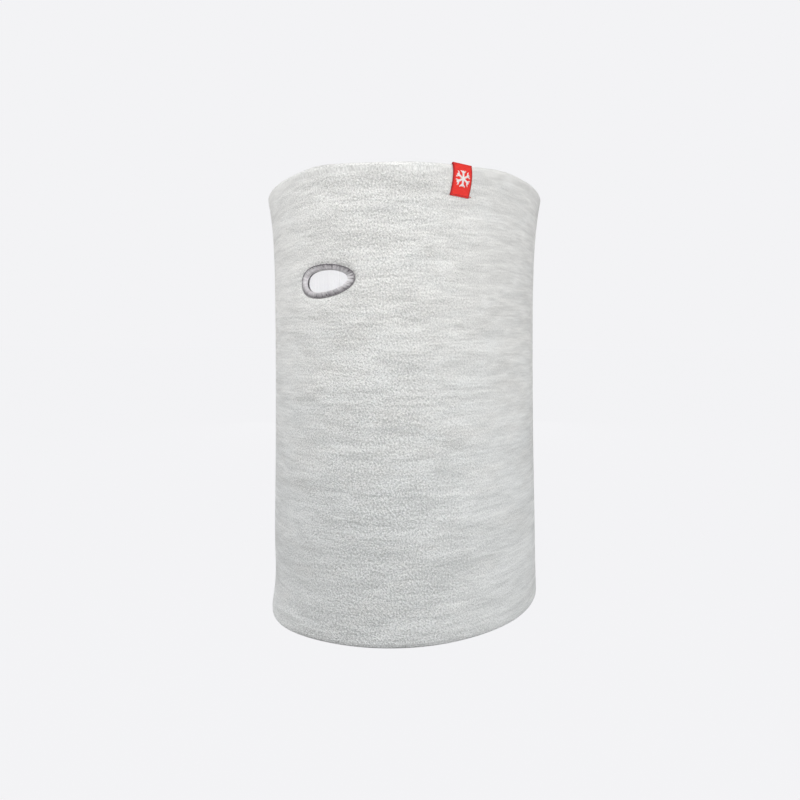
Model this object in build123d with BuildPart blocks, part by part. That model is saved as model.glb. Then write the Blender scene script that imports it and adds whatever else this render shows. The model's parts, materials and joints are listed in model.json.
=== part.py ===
from build123d import *
import os
from math import cos, exp, pi, radians, sin, sqrt

# A neck gaiter: a soft tube of two cloth layers, turned at both hems, with an embroidered breathing
# vent in front, a small woven label folded over the top hem and a care label inside the back seam.
#
# Frame: +Z up. The origin is in the middle of the bottom hem, on the surface the tube stands on.
# The front of the gaiter, with the vent, faces -Y. The wearer's left side is +X.
# All sizes are in millimetres.

# ---- Driving dimensions ----

HEIGHT = 244.0  # from hem to hem
GIRTH = 500.0  # round the outside, where the tube is narrowest
DEPTH_TO_WIDTH = 1.16  # the tube stands deeper, front to back, than it is wide

TOP_FLARE = 0.056  # how much the top hem opens out, as a share of the girth
TOP_FLARE_FADE = 20.0  # height over which that fades
BOTTOM_FLARE = 0.079  # the same at the bottom hem, where the tube spreads over the collar
BOTTOM_FLARE_FADE = 118.0

SHELL_THICKNESS = 1.8
LAYER_GAP = 1.0  # between shell and lining, where the seams and the vent's backing lie
LINING_THICKNESS = 1.4
HEM_ROUNDING = 1.1  # of the turned edge of either layer
HEM_DEPTH = 7.0  # how far the overlocked edges reach into the wall from a hem
BACK_SEAM_WIDTH = 5.0

VENT_WIDTH = 23.6  # the clear opening
VENT_HEIGHT = 10.4
VENT_LEVEL = 187.6  # of the vent's middle
VENT_TILT = 4.0  # degrees, rising to the wearer's left
SATIN_WIDTH = 3.5  # of the stitched ring round the opening
BACKING_WIDTH = 7.2  # of the stabiliser ring, from the opening outwards

LABEL_BEARING = 47.0  # degrees from the front towards +X, seen from above
LABEL_WIDTH = 10.4
LABEL_DROP = 16.0  # how far either leaf hangs below the hem
LABEL_THICKNESS = 0.6
EMBLEM_REACH = 3.7  # from the snow star's middle to the tip of an arm
EMBLEM_STROKE = 0.9
EMBLEM_RELIEF = 0.25
STITCH_LENGTH = 1.5
STITCH_PITCH = 2.0
STITCH_WIDTH = 0.4
STITCH_COUNT = 5
STITCH_RISE = 1.2  # of the stitch row above the foot of either leaf

CARE_WIDTH = 24.0
CARE_HEIGHT = 32.0
CARE_THICKNESS = 0.4
CARE_CORNER = 1.5  # radius of its corners
CARE_LEVEL = 70.0  # of the care label's middle
CARE_LEAN = 17.0  # degrees that the flap stands off the seam's tangent, into the tube

# ---- Worked out from them ----

LINING_INSET = SHELL_THICKNESS + LAYER_GAP
WALL = LINING_INSET + LINING_THICKNESS
CLEARANCE = 0.25  # between two loose pieces of cloth
CONTACT = 0.05  # between a row of stitches and the cloth under it
THREAD_RELIEF = 0.6  # how far a row of stitches stands up
SECTION_COUNT = 12  # lofted sections from hem to hem
FEWEST_SECTIONS = 2
OVERRUN = 5.0  # how far a cutting solid passes the hems
CUT_REACH = 3 * WALL  # how far a bar across the wall reaches past it, inwards and outwards
CUT_MARGIN = THREAD_RELIEF + 2 * CLEARANCE  # by which the cloth is cut back from the vent's opening

# An ellipse with half axes w and k*w measures about pi*w*(3(1+k) - sqrt((3+k)(1+3k))) round.
OVAL_FACTOR = 3 * (1 + DEPTH_TO_WIDTH) - sqrt((3 + DEPTH_TO_WIDTH) * (1 + 3 * DEPTH_TO_WIDTH))
HALF_WIDTH = GIRTH / (pi * OVAL_FACTOR)
HALF_DEPTH = HALF_WIDTH * DEPTH_TO_WIDTH


def spread(level):
    """How much wider than its narrowest girth the tube is at this level."""
    top = TOP_FLARE * exp((level - HEIGHT) / TOP_FLARE_FADE)
    bottom = BOTTOM_FLARE * exp(-level / BOTTOM_FLARE_FADE)
    return 1 + top + bottom


def front_reach(level, inset=0.0):
    """Distance from the axis to the wall at the front or back, inset from the outer face."""
    return HALF_DEPTH * spread(level) - inset


def section_levels(foot, head):
    """Levels of the lofted sections, crowded towards the head, where the flare is quick."""
    count = max(FEWEST_SECTIONS, round(SECTION_COUNT * (head - foot) / HEIGHT))
    steps = [index / count for index in range(count + 1)]
    return [head - (head - foot) * (1 - step) ** 2 for step in steps]


def tube_plug(inset, foot=0.0, head=HEIGHT):
    """A solid plug of the tube's shape, its side moved in by inset, from foot to head."""
    with BuildPart() as plug:
        for level in section_levels(foot, head):
            with BuildSketch(Plane.XY.offset(level)):
                Ellipse(HALF_WIDTH * spread(level) - inset, HALF_DEPTH * spread(level) - inset)
        loft()
    return plug.part


def cutting_plug(inset):
    """A tube plug that runs past both hems, for cutting."""
    return tube_plug(inset, -OVERRUN, HEIGHT + OVERRUN)


def cloth_band(outer_inset, inner_inset, foot, head):
    """A ring of cloth between two insets and two levels."""
    with BuildPart() as band:
        add(tube_plug(outer_inset, foot, head))
        add(cutting_plug(inner_inset), mode=Mode.SUBTRACT)
    return band.part


def vent_prism(margin):
    """A tilted oval bar through the front wall, wider than the vent by margin all round."""
    with BuildPart() as bar:
        with BuildSketch(Plane.XZ.offset(front_reach(VENT_LEVEL, CUT_REACH))):
            with Locations((0, VENT_LEVEL)):
                Ellipse(VENT_WIDTH / 2 + margin, VENT_HEIGHT / 2 + margin, rotation=VENT_TILT)
        extrude(amount=2 * CUT_REACH)
    return bar.part


def back_strip(outer_inset, inner_inset, width):
    """A strip of thread up the centre-back seam, between two insets of the wall."""
    with BuildPart() as strip:
        add(cutting_plug(outer_inset))
        add(cutting_plug(inner_inset), mode=Mode.SUBTRACT)
        with BuildSketch(Plane.XZ.offset(-HALF_DEPTH / 2)):
            with Locations((0, HEIGHT / 2)):
                Rectangle(width, HEIGHT - 2 * HEM_DEPTH)
        extrude(amount=-HALF_DEPTH, mode=Mode.INTERSECT)
    return strip.part


def finish(builder, name):
    """Labels a piece and writes its file."""
    builder.part.label = name
    export_step(builder.part, f"parts/{name}.step")


os.makedirs("parts", exist_ok=True)

# ---- The two layers ----

with BuildPart() as outer_shell:
    add(tube_plug(0))
    fillet(outer_shell.faces().filter_by(Axis.Z).edges(), HEM_ROUNDING)
    add(cutting_plug(SHELL_THICKNESS), mode=Mode.SUBTRACT)
    add(vent_prism(CUT_MARGIN), mode=Mode.SUBTRACT)
finish(outer_shell, "outer_shell")

with BuildPart() as inner_lining:
    add(tube_plug(LINING_INSET))
    add(cutting_plug(WALL), mode=Mode.SUBTRACT)
    fillet(
        [
            inner_lining.edges().group_by(Axis.Z)[end].sort_by(SortBy.LENGTH)[0]
            for end in (0, -1)
        ],
        HEM_ROUNDING,
    )
    add(vent_prism(CUT_MARGIN), mode=Mode.SUBTRACT)
finish(inner_lining, "inner_lining")

# ---- Seams inside the hems ----

seam_outer_inset = SHELL_THICKNESS + CLEARANCE
seam_inner_inset = LINING_INSET - CLEARANCE

with BuildPart() as top_overlock_seam:
    add(cloth_band(seam_outer_inset, seam_inner_inset, HEIGHT - HEM_DEPTH, HEIGHT - HEM_ROUNDING))
finish(top_overlock_seam, "top_overlock_seam")

with BuildPart() as bottom_overlock_seam:
    add(cloth_band(seam_outer_inset, seam_inner_inset, HEM_ROUNDING, HEM_DEPTH))
finish(bottom_overlock_seam, "bottom_overlock_seam")

# ---- Flatlock seams at the centre back ----

with BuildPart() as shell_back_seam:
    add(back_strip(-CONTACT - THREAD_RELIEF, -CONTACT, BACK_SEAM_WIDTH))
finish(shell_back_seam, "shell_back_seam")

with BuildPart() as lining_back_seam:
    add(back_strip(WALL + CONTACT, WALL + CONTACT + THREAD_RELIEF, BACK_SEAM_WIDTH))
finish(lining_back_seam, "lining_back_seam")

# ---- The vent's embroidery ----

# The satin stitch is a flange on the shell and a sleeve that wraps the cut edges of both layers.
with BuildPart() as vent_satin_stitch:
    add(cutting_plug(-CONTACT - THREAD_RELIEF))
    add(cutting_plug(-CONTACT), mode=Mode.SUBTRACT)
    add(vent_prism(SATIN_WIDTH), mode=Mode.INTERSECT)
    add(vent_prism(THREAD_RELIEF) & cutting_plug(-CONTACT - THREAD_RELIEF) - cutting_plug(WALL))
    add(vent_prism(0), mode=Mode.SUBTRACT)
finish(vent_satin_stitch, "vent_satin_stitch")

with BuildPart() as vent_bobbin_stitch:
    add(cutting_plug(WALL + CONTACT))
    add(cutting_plug(WALL + CONTACT + THREAD_RELIEF), mode=Mode.SUBTRACT)
    add(vent_prism(SATIN_WIDTH), mode=Mode.INTERSECT)
    add(vent_prism(0), mode=Mode.SUBTRACT)
finish(vent_bobbin_stitch, "vent_bobbin_stitch")

with BuildPart() as vent_backing:
    add(cutting_plug(seam_outer_inset))
    add(cutting_plug(seam_inner_inset), mode=Mode.SUBTRACT)
    add(vent_prism(BACKING_WIDTH), mode=Mode.INTERSECT)
    add(vent_prism(CUT_MARGIN), mode=Mode.SUBTRACT)
finish(vent_backing, "vent_backing")

# ---- The woven label over the top hem ----


def label_plane(level):
    """Stands on the shell at the label's middle, facing straight out of the cloth."""
    bearing = radians(LABEL_BEARING)
    across = HALF_WIDTH * spread(level)
    along = HALF_DEPTH * spread(level)
    reach = 1 / sqrt((sin(bearing) / across) ** 2 + (cos(bearing) / along) ** 2)
    foot = Vector(reach * sin(bearing), -reach * cos(bearing), level)
    outward = Vector(foot.X / across**2, foot.Y / along**2, 0)
    tangent = Vector(-outward.Y, outward.X, 0)
    return Plane(origin=foot, x_dir=tangent, z_dir=outward)


label_outside = -CLEARANCE - LABEL_THICKNESS
label_inside = WALL + CLEARANCE + LABEL_THICKNESS
label_crown = HEIGHT + CLEARANCE + LABEL_THICKNESS
label_foot = HEIGHT - LABEL_DROP

with BuildPart() as woven_label:
    add(tube_plug(label_outside, 0, label_crown))
    add(cutting_plug(label_inside), mode=Mode.SUBTRACT)
    add(cloth_band(-CLEARANCE, WALL + CLEARANCE, -OVERRUN, HEIGHT + CLEARANCE), mode=Mode.SUBTRACT)
    with BuildSketch(label_plane(HEIGHT)):
        Rectangle(LABEL_WIDTH, 2 * LABEL_DROP)
    extrude(amount=CUT_REACH, both=True, mode=Mode.INTERSECT)
finish(woven_label, "woven_label")

# A snow star: three bars crossed at 60 degrees, woven proud of the label's outer leaf.
with BuildPart() as label_emblem:
    with BuildSketch(label_plane(HEIGHT - LABEL_DROP / 2).offset(-CUT_REACH)):
        for turn in range(3):
            Rectangle(EMBLEM_STROKE, 2 * EMBLEM_REACH, rotation=60 * turn)
    extrude(amount=2 * CUT_REACH)
    add(cutting_plug(label_outside - CONTACT - EMBLEM_RELIEF), mode=Mode.INTERSECT)
    add(cutting_plug(label_outside - CONTACT), mode=Mode.SUBTRACT)
finish(label_emblem, "label_emblem")


def label_stitch_row(outer_inset, inner_inset):
    """A row of short stitches along the foot of one leaf, between two insets."""
    with BuildPart() as row:
        with BuildSketch(label_plane(label_foot + STITCH_RISE).offset(-CUT_REACH)):
            with GridLocations(STITCH_PITCH, 1, STITCH_COUNT, 1):
                Rectangle(STITCH_LENGTH, STITCH_WIDTH)
        extrude(amount=2 * CUT_REACH)
        add(cutting_plug(outer_inset), mode=Mode.INTERSECT)
        add(cutting_plug(inner_inset), mode=Mode.SUBTRACT)
    return row.part


with BuildPart() as label_stitches:
    add(label_stitch_row(label_outside - CONTACT - STITCH_WIDTH, label_outside - CONTACT))
finish(label_stitches, "label_stitches")

with BuildPart() as label_stitches_inside:
    add(label_stitch_row(label_inside + CONTACT, label_inside + CONTACT + STITCH_WIDTH))
finish(label_stitches_inside, "label_stitches_inside")

# ---- The care label, a flap that turns about the upright edge caught in the lining's seam ----

care_hinge_x = BACK_SEAM_WIDTH / 2 + CARE_THICKNESS + CLEARANCE
care_hinge_y = front_reach(CARE_LEVEL + CARE_HEIGHT / 2, WALL + THREAD_RELIEF + 2 * CLEARANCE)

with BuildPart() as care_label:
    care_plane = Plane(
        origin=(care_hinge_x, care_hinge_y, CARE_LEVEL),
        x_dir=(cos(radians(CARE_LEAN)), -sin(radians(CARE_LEAN)), 0),
        z_dir=(-sin(radians(CARE_LEAN)), -cos(radians(CARE_LEAN)), 0),
    )
    with BuildSketch(care_plane):
        with Locations((CARE_WIDTH / 2, 0)):
            RectangleRounded(CARE_WIDTH, CARE_HEIGHT, CARE_CORNER)
    extrude(amount=CARE_THICKNESS / 2, both=True)
finish(care_label, "care_label")

print("half width", round(HALF_WIDTH, 2), "half depth", round(HALF_DEPTH, 2))
print("care label hinge at", round(care_hinge_x, 2), round(care_hinge_y, 2), CARE_LEVEL)
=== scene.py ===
import json
import math

import bpy
import numpy as np
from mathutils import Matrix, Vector


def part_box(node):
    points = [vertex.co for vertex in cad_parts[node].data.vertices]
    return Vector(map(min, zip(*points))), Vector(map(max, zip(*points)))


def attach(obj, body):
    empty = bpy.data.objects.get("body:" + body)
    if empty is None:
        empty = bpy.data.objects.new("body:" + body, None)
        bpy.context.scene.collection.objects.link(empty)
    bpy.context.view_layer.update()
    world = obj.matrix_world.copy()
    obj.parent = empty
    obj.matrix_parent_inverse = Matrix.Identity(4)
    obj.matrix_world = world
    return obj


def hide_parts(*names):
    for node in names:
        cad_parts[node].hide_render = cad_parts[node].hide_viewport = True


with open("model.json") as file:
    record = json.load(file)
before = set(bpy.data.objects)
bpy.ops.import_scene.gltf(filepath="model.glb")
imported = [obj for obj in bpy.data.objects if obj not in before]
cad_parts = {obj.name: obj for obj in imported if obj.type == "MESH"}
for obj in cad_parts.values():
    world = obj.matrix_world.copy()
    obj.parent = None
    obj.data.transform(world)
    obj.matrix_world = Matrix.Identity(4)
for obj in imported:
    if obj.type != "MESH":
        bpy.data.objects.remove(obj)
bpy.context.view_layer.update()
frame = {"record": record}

# A neck gaiter: two layers of cloth sewn into a tube, with an embroidered vent, a folded label and a
# care label. Metres, +Z up, the front (with the vent) faces -Y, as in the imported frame.
#
# Places on the cloth are given as along and level: along is the distance round the girth from the
# front, growing towards +X, and level is the height above the bottom hem. Depth is how far a point
# lies inside the shell's outer face.

MM = 0.001

# ---- The tube's shape, from the frame ----

shell_low, shell_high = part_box("outer_shell")
lining_low, lining_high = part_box("inner_lining")
HEIGHT = shell_high.z
TOP_FLARE = 0.056
TOP_FLARE_FADE = 20 * MM
BOTTOM_FLARE = 0.079
BOTTOM_FLARE_FADE = 118 * MM

SHELL_THICKNESS = 1.8 * MM
LINING_DEPTH = 2.8 * MM
WALL = 4.2 * MM


def spread(level):
    """How much wider than its narrowest girth the tube is at this level."""
    top = TOP_FLARE * np.exp((level - HEIGHT) / TOP_FLARE_FADE)
    bottom = BOTTOM_FLARE * np.exp(-level / BOTTOM_FLARE_FADE)
    return 1 + top + bottom


HALF_WIDTH = shell_high.x / spread(0)
HALF_DEPTH = shell_high.y / spread(0)

# Distances round the girth, from the centre back to every bearing. Bearing 0 is the front.
BEARINGS = np.linspace(-math.pi, math.pi, 1441)
_pace = np.hypot(HALF_WIDTH * np.cos(BEARINGS), HALF_DEPTH * np.sin(BEARINGS))
_steps = (_pace[1:] + _pace[:-1]) / 2 * (BEARINGS[1] - BEARINGS[0])
ALONGS = np.concatenate([[0], np.cumsum(_steps)])
GIRTH = ALONGS[-1]
ALONGS = ALONGS - GIRTH / 2


def bearing_at(along):
    """Bearing on the oval, in radians, at a distance round the girth from the front."""
    wrapped = (along + GIRTH / 2) % GIRTH - GIRTH / 2
    return np.interp(wrapped, ALONGS, BEARINGS)


def along_at(point):
    """Distance round the girth from the front to a point of the frame."""
    bearing = math.atan2(point.x / HALF_WIDTH, -point.y / HALF_DEPTH)
    return float(np.interp(bearing, BEARINGS, ALONGS))


def bell(distance, reach):
    """1 at no distance, fading to 0 past reach."""
    return np.exp(-((distance / reach) ** 2))


def soft_step(value, low, high):
    """0 below low, 1 above high, smooth between."""
    share = np.clip((value - low) / (high - low), 0, 1)
    return share * share * (3 - 2 * share)


RIM_LIFT = 0.4 * MM
RIM_FADE = 0.72  # share of the height above which the top hem's waves show
RIM_WAVES = (
    # where round the girth, how far it reaches, how high it lifts
    (-63 * MM, 44 * MM, -6.0 * MM),
    (-3 * MM, 11 * MM, 0.7 * MM),
    (25 * MM, 14 * MM, -0.5 * MM),
    (95 * MM, 15 * MM, 1.0 * MM),
    (151 * MM, 26 * MM, -2.3 * MM),
)
WALL_SWELLS = (
    # where round the girth, its reach, at what share of the height, its reach, how far outwards
    (156 * MM, 62 * MM, 0.80, 0.30, -1.4 * MM),
    (156 * MM, 62 * MM, 0.22, 0.17, 0.5 * MM),
    (-62 * MM, 32 * MM, 0.07, 0.08, -1.3 * MM),
    (-31 * MM, 25 * MM, 0.0, 0.05, 3.2 * MM),
)


def rim_lift(along, level):
    """How far the relaxed top hem stands above its cut height."""
    waves = sum(lift * bell(along - place, reach) for place, reach, lift in RIM_WAVES)
    return (RIM_LIFT + waves) * soft_step(level, RIM_FADE * HEIGHT, HEIGHT)


def swell(along, level):
    """Slow swells of the soft wall, outwards."""
    turn = 2 * math.pi * along / GIRTH
    rise = level / HEIGHT
    slow = 0.40 * np.sin(2 * turn + 1.1 + 2.4 * rise)
    middling = 0.22 * np.sin(3 * turn - 0.6 - 4.1 * rise) + 0.14 * np.sin(5 * turn + 5.3 * rise)
    quick = 0.07 * np.sin(9 * turn + 2.0 - 7.7 * rise)
    swells = MM * (slow + middling + quick)
    for place, reach, height, tall, out in WALL_SWELLS:
        swells = swells + out * bell(along - place, reach) * bell(rise - height, tall)
    return swells


def wall_point(along, level, depth):
    """Points of the wall, and the way out of the cloth there."""
    along, level, depth = np.broadcast_arrays(along, level, depth)
    bearing = bearing_at(along)
    width = HALF_WIDTH * spread(level)
    length = HALF_DEPTH * spread(level)
    out = np.stack([np.sin(bearing) / width, -np.cos(bearing) / length, 0 * level], axis=-1)
    out /= np.linalg.norm(out, axis=-1, keepdims=True)
    reach = swell(along, level) - depth
    height = level + rim_lift(along, level)
    middle = np.stack([width * np.sin(bearing), -length * np.cos(bearing), height], axis=-1)
    return middle + out * reach[..., None], out


# ---- The vent ----

vent_low, vent_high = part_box("vent_satin_stitch")
SATIN_WIDTH = 3.5 * MM
VENT_LEVEL = (vent_low.z + vent_high.z) / 2
VENT_PULL = 1.0 * MM  # how much wider the stretched cloth pulls it
VENT_HALF_WIDTH = vent_high.x - SATIN_WIDTH + VENT_PULL
VENT_HALF_HEIGHT = (vent_high.z - vent_low.z) / 2 - SATIN_WIDTH - VENT_PULL / 3
VENT_TILT = math.radians(5.0)
VENT_EGG = 0.18  # how much blunter the vent's end on the wearer's right is
VENT_SQUARE = 0.88  # below 1 its corners are fuller than an oval's
VENT_SHIFT = -0.7 * MM  # of its middle along the cloth
VENT_PINCH = 1.2 * MM  # how far the embroidery draws the lining's inner face outwards
GAP_AT_VENT = 0.45 * MM  # left between shell and lining there


def fuller(share, power):
    """A power of a share that keeps its sign."""
    return np.sign(share) * np.abs(share) ** power


def vent_edge(turn, margin):
    """Place on the cloth, from the vent's middle, at an angle round it and a margin outside it."""
    across = (VENT_HALF_WIDTH + margin) * fuller(np.cos(turn), VENT_SQUARE)
    up = (VENT_HALF_HEIGHT + margin) * fuller(np.sin(turn), VENT_SQUARE) * (1 - VENT_EGG * np.cos(turn))
    along = across * math.cos(VENT_TILT) - up * math.sin(VENT_TILT)
    rise = across * math.sin(VENT_TILT) + up * math.cos(VENT_TILT)
    return along + VENT_SHIFT, rise


def vent_turn(along, rise):
    """The angle round the vent of a place on the cloth, measured from the vent's middle."""
    off = along - VENT_SHIFT
    across = off * math.cos(VENT_TILT) + rise * math.sin(VENT_TILT)
    up = rise * math.cos(VENT_TILT) - off * math.sin(VENT_TILT)
    return np.arctan2(
        fuller(up / VENT_HALF_HEIGHT, 1 / VENT_SQUARE),
        fuller(across / VENT_HALF_WIDTH, 1 / VENT_SQUARE),
    )


def vent_margin(along, rise):
    """Roughly how far outside the vent's edge a place on the cloth is."""
    edge_along, edge_rise = vent_edge(vent_turn(along, rise), 0)
    distance = np.hypot(along - VENT_SHIFT, rise)
    return distance - np.hypot(edge_along - VENT_SHIFT, edge_rise)


# ---- Making meshes ----


class Maker:
    """Collects points, faces and cloth coordinates, then becomes one mesh object."""

    def __init__(self):
        self.points = []
        self.marks = []
        self.faces = []
        self.count = 0

    def add_points(self, points, marks):
        """Adds points with their cloth coordinates, and returns their numbers in the same shape."""
        shape = points.shape[:-1]
        self.points.append(points.reshape(-1, 3))
        self.marks.append(np.broadcast_to(marks, (*shape, 2)).reshape(-1, 2))
        numbers = self.count + np.arange(int(np.prod(shape))).reshape(shape)
        self.count += numbers.size
        return numbers

    def add_quads(self, numbers, keep=None):
        """Adds a quad between each four neighbours of a grid of point numbers."""
        quads = np.stack([numbers[:-1, :-1], numbers[:-1, 1:], numbers[1:, 1:], numbers[1:, :-1]], axis=-1)
        if keep is not None:
            quads = quads[keep]
        self.faces.extend(quads.reshape(-1, 4).tolist())

    def add_threads(self, paths, out, radii, sides=6, flatness=1.0, shade=None):
        """Adds threads along paths (strands by steps by 3), flattened towards the cloth."""
        strands, steps = paths.shape[:2]
        ahead = np.gradient(paths, axis=1)
        ahead /= np.linalg.norm(ahead, axis=-1, keepdims=True)
        side = np.cross(ahead, np.broadcast_to(out, paths.shape))
        side /= np.linalg.norm(side, axis=-1, keepdims=True)
        lift = np.cross(side, ahead)
        turn = np.linspace(0, 2 * math.pi, sides, endpoint=False)[:, None]
        ring = flatness * np.cos(turn) * lift[:, :, None, :] + np.sin(turn) * side[:, :, None, :]
        radii = np.broadcast_to(radii, (strands, steps))
        points = paths[:, :, None, :] + radii[:, :, None, None] * ring
        shade = np.zeros(strands) if shade is None else shade
        marks = np.zeros((strands, steps, sides, 2))
        marks[..., 0] = np.linspace(0, 1, steps)[None, :, None]
        marks[..., 1] = shade[:, None, None]
        numbers = self.add_points(points, marks)
        for strand in numbers:
            self.add_quads(np.hstack([strand, strand[:, :1]]))
            self.faces.append(strand[0, ::-1].tolist())
            self.faces.append(strand[-1].tolist())

    def finish(self, name, body, slot, finish, nodes, wrap=None):
        """Makes the object, gives it its material, puts it on its body and hides the parts it replaces."""
        mesh = bpy.data.meshes.new(name)
        mesh.from_pydata(np.concatenate(self.points).tolist(), [], self.faces)
        mesh.polygons.foreach_set("use_smooth", [True] * len(mesh.polygons))
        corners = np.empty(len(mesh.loops), dtype=np.int64)
        mesh.loops.foreach_get("vertex_index", corners)
        marks = np.concatenate(self.marks)[corners]
        if wrap is not None:
            starts = np.empty(len(mesh.polygons), dtype=np.int64)
            totals = np.empty(len(mesh.polygons), dtype=np.int64)
            mesh.polygons.foreach_get("loop_start", starts)
            mesh.polygons.foreach_get("loop_total", totals)
            first = np.repeat(marks[starts], totals, axis=0)
            marks -= wrap * np.round((marks - first) / wrap)
        layer = mesh.uv_layers.new(name="cloth")
        layer.data.foreach_set("uv", marks.ravel())
        mesh.materials.append(finish)
        mesh.validate()
        piece = bpy.data.objects.new(name, mesh)
        bpy.context.scene.collection.objects.link(piece)
        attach(piece, body)
        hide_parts(*nodes)
        return piece


# ---- Materials ----


class Finish:
    """A node material under construction."""

    def __init__(self, name, roughness, sheen=0.0, sheen_roughness=0.5, specular=0.25):
        self.material = bpy.data.materials.new(name)
        self.material.use_nodes = True
        self.nodes = self.material.node_tree.nodes
        self.links = self.material.node_tree.links
        self.surface = self.nodes["Principled BSDF"]
        self.surface.inputs["Roughness"].default_value = roughness
        self.surface.inputs["Sheen Weight"].default_value = sheen
        self.surface.inputs["Sheen Roughness"].default_value = sheen_roughness
        self.surface.inputs["Specular IOR Level"].default_value = specular

    def put(self, socket, value):
        """Links a node's output to a socket, or sets the socket to a plain value."""
        if isinstance(value, bpy.types.NodeSocket):
            self.links.new(value, socket)
        elif isinstance(value, tuple):
            socket.default_value = (*value, 1)
        else:
            socket.default_value = value

    def cloth(self, wide, high, drift=None, turn=0.0):
        """Cloth coordinates in cells that are wide by high, turned, and pushed about by drift."""
        place = self.nodes.new("ShaderNodeUVMap")
        place.uv_map = "cloth"
        turned = self.nodes.new("ShaderNodeVectorRotate")
        turned.rotation_type = "Z_AXIS"
        turned.inputs["Angle"].default_value = math.radians(turn)
        self.links.new(place.outputs["UV"], turned.inputs["Vector"])
        scale = self.nodes.new("ShaderNodeVectorMath")
        scale.operation = "MULTIPLY"
        self.links.new(turned.outputs[0], scale.inputs[0])
        scale.inputs[1].default_value = (1 / wide, 1 / high, 0)
        if drift is None:
            return scale.outputs[0]
        push = self.nodes.new("ShaderNodeVectorMath")
        push.operation = "ADD"
        self.links.new(scale.outputs[0], push.inputs[0])
        self.links.new(drift, push.inputs[1])
        return push.outputs[0]

    def noise(self, vector, detail=2.0, roughness=0.5, distortion=0.0):
        """Cloudy noise, about 0.5 on average."""
        texture = self.nodes.new("ShaderNodeTexNoise")
        self.links.new(vector, texture.inputs["Vector"])
        texture.inputs["Scale"].default_value = 1.0
        texture.inputs["Detail"].default_value = detail
        texture.inputs["Roughness"].default_value = roughness
        texture.inputs["Distortion"].default_value = distortion
        return texture.outputs["Fac"]

    def sum(self, *terms):
        """Adds up terms of (value, weight, offset), each worth weight * (value - offset)."""
        total = None
        for value, weight, offset in terms:
            term = self.nodes.new("ShaderNodeMath")
            term.operation = "MULTIPLY_ADD"
            self.put(term.inputs[0], value)
            term.inputs[1].default_value = weight
            self.put(term.inputs[2], -weight * offset)
            if total is not None:
                join = self.math("ADD", term.outputs[0], total)
                total = join
            else:
                total = term.outputs[0]
        return total

    def math(self, operation, first, second=0.0):
        """One step of arithmetic."""
        step = self.nodes.new("ShaderNodeMath")
        step.operation = operation
        self.put(step.inputs[0], first)
        self.put(step.inputs[1], second)
        return step.outputs[0]

    def shades(self, value, dark, light):
        """Turns a value from 0 to 1 into a colour from dark to light."""
        ramp = self.nodes.new("ShaderNodeValToRGB")
        self.put(ramp.inputs[0], value)
        low_end, high_end = ramp.color_ramp.elements
        low_end.color = (*dark, 1)
        high_end.color = (*light, 1)
        return ramp.outputs["Color"]

    def tint(self, colour, other, amount):
        """Mixes two colours by amount."""
        mix = self.nodes.new("ShaderNodeMix")
        mix.data_type = "RGBA"
        self.put(mix.inputs[0], amount)
        self.put(mix.inputs[6], colour)
        self.put(mix.inputs[7], other)
        return mix.outputs[2]

    def colour(self, value):
        """Sets the surface's colour."""
        self.put(self.surface.inputs["Base Color"], value)

    def bell_round(self, place, reach):
        """1 at a place round the girth, fading to 0 past reach, by the cloth's own coordinates."""
        split = self.nodes.new("ShaderNodeSeparateXYZ")
        self.links.new(self.cloth(reach, reach), split.inputs[0])
        away = self.math("SUBTRACT", split.outputs[0], place / reach)
        return self.math("POWER", 1 / math.e, self.math("MULTIPLY", away, away))

    def slope(self, value, low, high):
        """0 while a value is under low, rising to 1 at high."""
        rise = self.nodes.new("ShaderNodeMapRange")
        rise.inputs["From Min"].default_value = low
        rise.inputs["From Max"].default_value = high
        self.links.new(value, rise.inputs["Value"])
        return rise.outputs[0]

    def climb(self, low, high):
        """0 up to a level on the cloth, rising to 1 at a higher one."""
        split = self.nodes.new("ShaderNodeSeparateXYZ")
        self.links.new(self.cloth(1.0, 1.0), split.inputs[0])
        return self.slope(split.outputs[1], low, high)

    def selvedge(self, half_width, reach):
        """0 in the middle of a ribbon, rising to 1 along each side."""
        split = self.nodes.new("ShaderNodeSeparateXYZ")
        self.links.new(self.cloth(1.0, 1.0), split.inputs[0])
        away = self.math("ABSOLUTE", split.outputs[0])
        return self.slope(away, half_width - reach, half_width)

    def bump(self, height, depth):
        """Raises and lowers the surface by up to depth."""
        bump = self.nodes.new("ShaderNodeBump")
        self.links.new(height, bump.inputs["Height"])
        bump.inputs["Strength"].default_value = 1.0
        bump.inputs["Distance"].default_value = depth
        self.links.new(bump.outputs["Normal"], self.surface.inputs["Normal"])


def grey(value, warmth=0.0):
    """A grey, made warmer or, with less than 0, cooler."""
    return (value * (1 + warmth), value, value * (1 - warmth))


PILE_AT = 24 * MM  # the curls and rows show strongest here in front and fade to the sides
PILE_REACH = 56 * MM
# Painted light: the top's colours are warmer and a touch darker, the foot's cooler and a touch lighter. This
# stands in for warm light from above and cool light from below, and evens out the lamps' fall in light from top
# to foot.
TOP_DARK = (0.487, 0.487, 0.472)
TOP_LIGHT = (0.978, 0.978, 0.953)
FOOT_DARK = (0.494, 0.508, 0.500)
FOOT_LIGHT = (0.980, 0.995, 0.985)
PAINTED_LIGHT_LOW = 0.30  # shares of the height between which the painted light changes from the foot's to the top's, and the curls weaken
PAINTED_LIGHT_HIGH = 0.75


HEM_PILE = 4.0 * MM  # how far under the top rim the pile starts to lie down


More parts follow.
